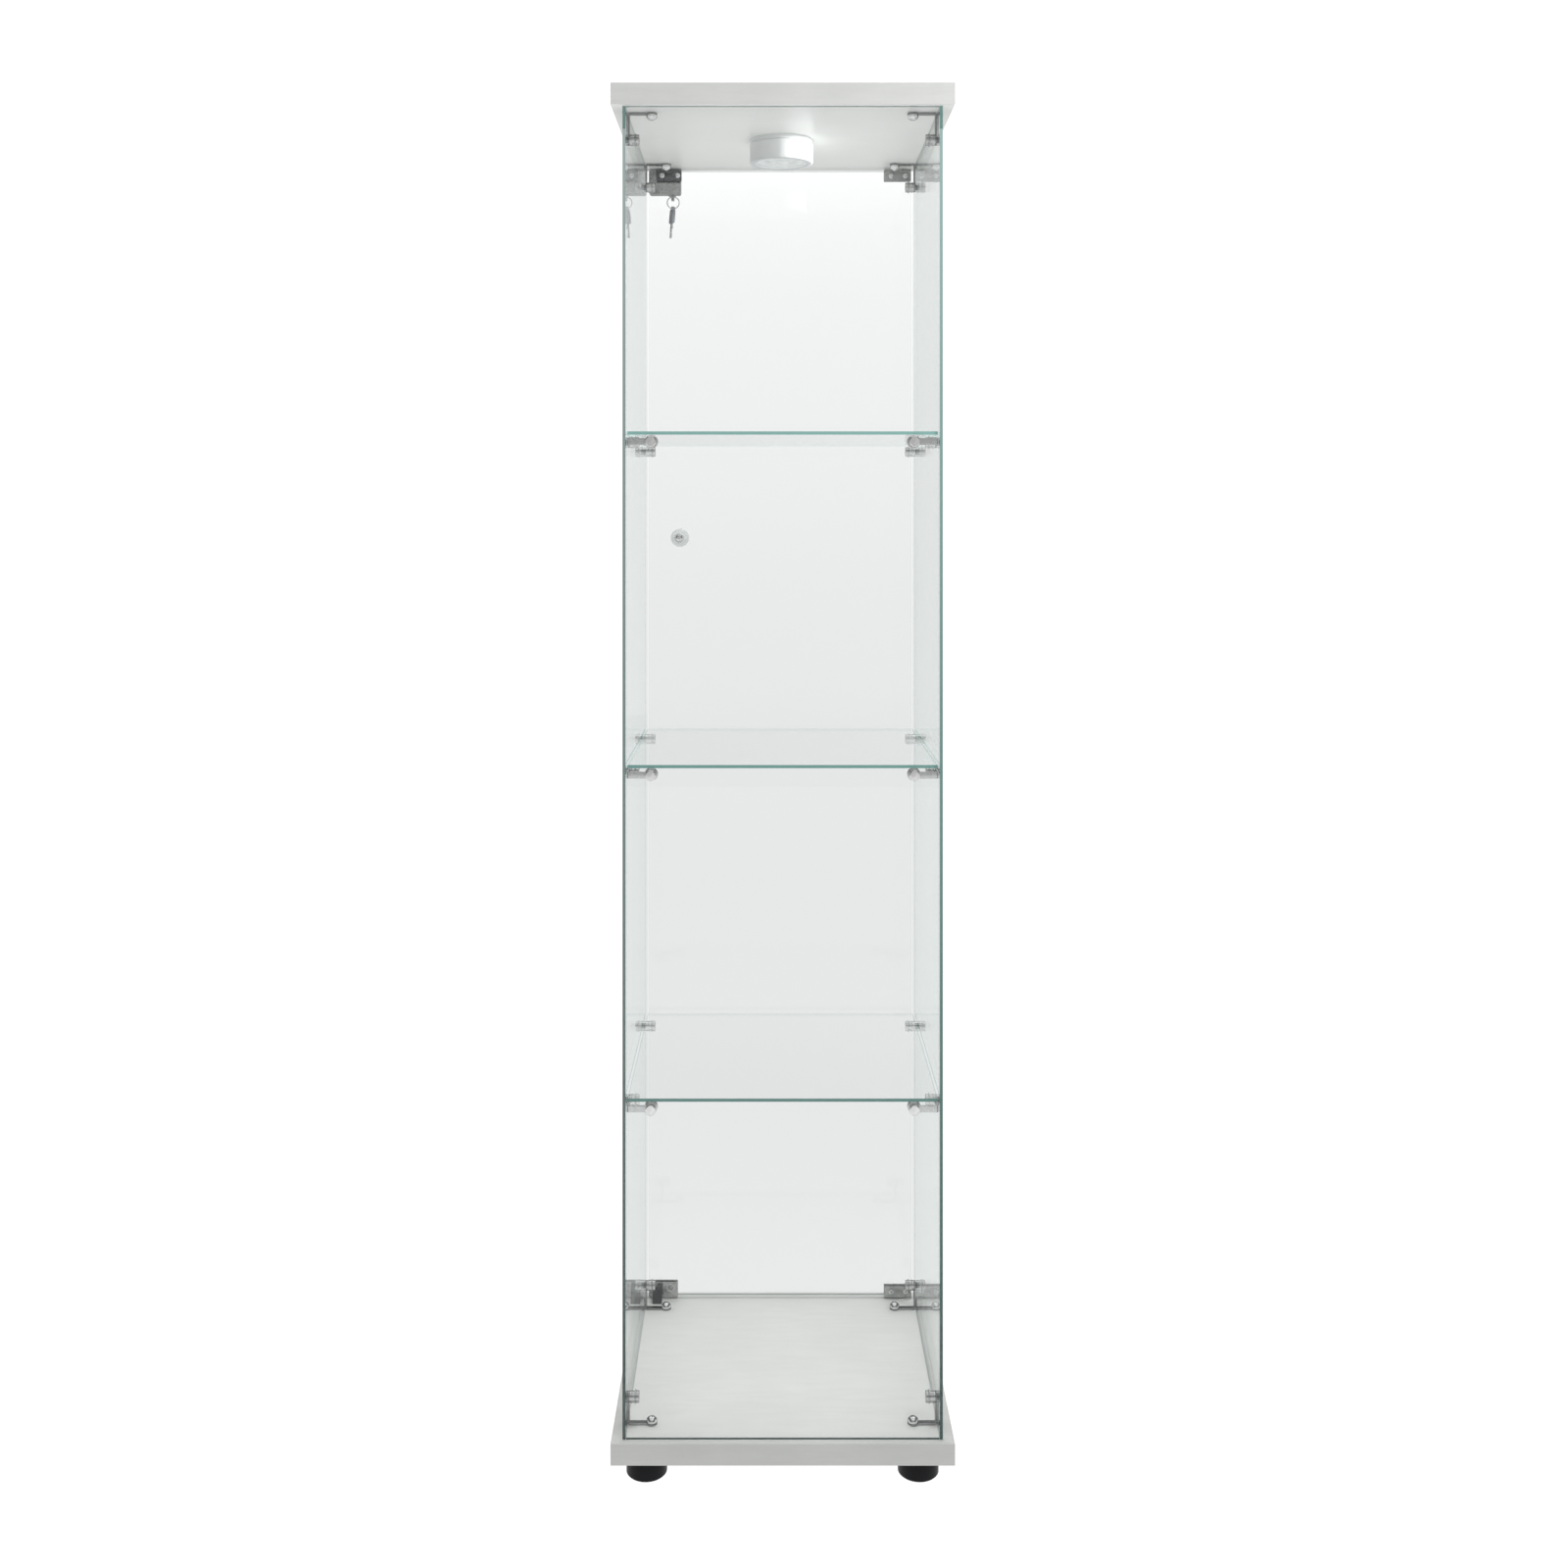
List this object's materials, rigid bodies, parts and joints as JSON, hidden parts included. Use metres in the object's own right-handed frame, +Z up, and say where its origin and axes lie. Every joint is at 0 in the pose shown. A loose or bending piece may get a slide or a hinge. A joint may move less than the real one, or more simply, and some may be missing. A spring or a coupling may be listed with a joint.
{
  "type": "glass display case",
  "caption": "Tall glass display case with laminated top and base boards, loose glass shelves, a puck lamp and a lockable pivot door.",
  "frame": {"origin": "on the floor, under the middle of the case's overall outline, which is the boards and the key that stands out of the door lock. The middle of the boards is 19.8 mm from it, towards -Y", "axes": "+Z up, +Y to the door side, +X to the right when seen from the fixed pane"},
  "size_m": [0.4, 0.4046, 1.63],
  "materials": {
    "laminate": "semi-gloss off-white laminate on board",
    "clear_glass": "clear polished, green at the edges",
    "nickel": "satin nickel plate",
    "brushed_metal": "brushed",
    "foot_plastic": "fine matte grain",
    "black_plastic": "matte",
    "lamp_white": "satin white",
    "lamp_lens": "ribbed translucent",
    "led_board": "white solder mask",
    "bush_plastic": "moulded",
    "key_plastic": "moulded bow on a nickel blade",
    "knob_acrylic": "pale translucent moulding"
  },
  "bodies": {
    "cabinet": {"top_board": "laminate", "base_board": "laminate", "foot_near_left": "foot_plastic", "foot_near_right": "foot_plastic", "foot_door_left": "foot_plastic", "foot_door_right": "foot_plastic", "side_glass_left": "clear_glass", "side_glass_right": "clear_glass", "fixed_glass": "clear_glass", "bracket_top_near_left": "nickel", "glass_bolt_top_near_left": "nickel", "bracket_top_near_right": "nickel", "glass_bolt_top_near_right": "nickel", "bracket_top_door_left": "nickel", "glass_bolt_top_door_left": "nickel", "bracket_top_door_right": "nickel", "glass_bolt_top_door_right": "nickel", "bracket_bottom_near_left": "nickel", "glass_bolt_bottom_near_left": "nickel", "bracket_bottom_near_right": "nickel", "glass_bolt_bottom_near_right": "nickel", "bracket_bottom_door_left": "nickel", "glass_bolt_bottom_door_left": "nickel", "bracket_bottom_door_right": "nickel", "glass_bolt_bottom_door_right": "nickel", "corner_bracket_lower_left": "nickel", "shelf_pin_lower_left": "nickel", "corner_bracket_lower_right": "nickel", "shelf_pin_lower_right": "nickel", "corner_bracket_middle_left": "nickel", "shelf_pin_middle_left": "nickel", "corner_bracket_middle_right": "nickel", "shelf_pin_middle_right": "nickel", "corner_bracket_upper_left": "nickel", "shelf_pin_upper_left": "nickel", "corner_bracket_upper_right": "nickel", "shelf_pin_upper_right": "nickel", "lamp_mount_plate": "lamp_white", "lamp_housing": "lamp_white", "lamp_led_board": "led_board", "lamp_lens": "lamp_lens", "pivot_bush_upper": "bush_plastic", "pivot_bush_lower": "bush_plastic", "catch_block": "black_plastic"},
    "door": {"door_glass": "clear_glass", "hinge_clamp_upper": "brushed_metal", "hinge_clamp_lower": "brushed_metal", "door_knob": "knob_acrylic", "knob_screw": "nickel", "catch_plate": "brushed_metal", "lock_case": "brushed_metal", "lock_clamp_plate": "brushed_metal"},
    "lock_barrel": {"lock_cylinder": "nickel", "door_key": "key_plastic"},
    "dead_bolt": {"lock_bolt": "nickel"},
    "ring_loop": {"key_ring": "nickel"},
    "hanging_key": {"spare_key": "key_plastic"},
    "lower_shelf": {"shelf_lower": "clear_glass"},
    "middle_shelf": {"shelf_middle": "clear_glass"},
    "upper_shelf": {"shelf_upper": "clear_glass"}
  },
  "joints": [
    {"name": "door_hinge", "type": "hinge", "parent": "cabinet", "child": "door", "pos_m": [0.175, 0.1477, 0.8], "axis": [0, 0, -1], "range_deg": [0, 110]},
    {"name": "key_turn", "type": "hinge", "parent": "door", "child": "lock_barrel", "pos_m": [-0.15, 0.1652, 1.5773], "axis": [0, 1, 0], "range_deg": [0, 90]},
    {"name": "bolt_slide", "type": "slide", "parent": "door", "child": "dead_bolt", "axis": [0, 0, 1], "range_m": [0, 0.008]},
    {"name": "ring_hang", "type": "hinge", "parent": "lock_barrel", "child": "ring_loop", "pos_m": [-0.15, 0.1932, 1.57177], "axis": [0, 1, 0], "range_deg": [-90, 0]},
    {"name": "spare_key_swing", "type": "hinge", "parent": "ring_loop", "child": "hanging_key", "pos_m": [-0.15, 0.1932, 1.5672], "axis": [0, 1, 0], "range_deg": [-40, 40]},
    {"name": "lower_shelf_lift", "type": "slide", "parent": "cabinet", "child": "lower_shelf", "axis": [0, 0, 1], "range_m": [0, 0.04]},
    {"name": "middle_shelf_lift", "type": "slide", "parent": "cabinet", "child": "middle_shelf", "axis": [0, 0, 1], "range_m": [0, 0.04]},
    {"name": "upper_shelf_lift", "type": "slide", "parent": "cabinet", "child": "upper_shelf", "axis": [0, 0, 1], "range_m": [0, 0.04]}
  ],
  "couplings": [
    {"joint": "bolt_slide", "follows": "key_turn", "m_per_rad": 0.00509},
    {"joint": "ring_hang", "follows": "key_turn", "ratio": -1}
  ]
}
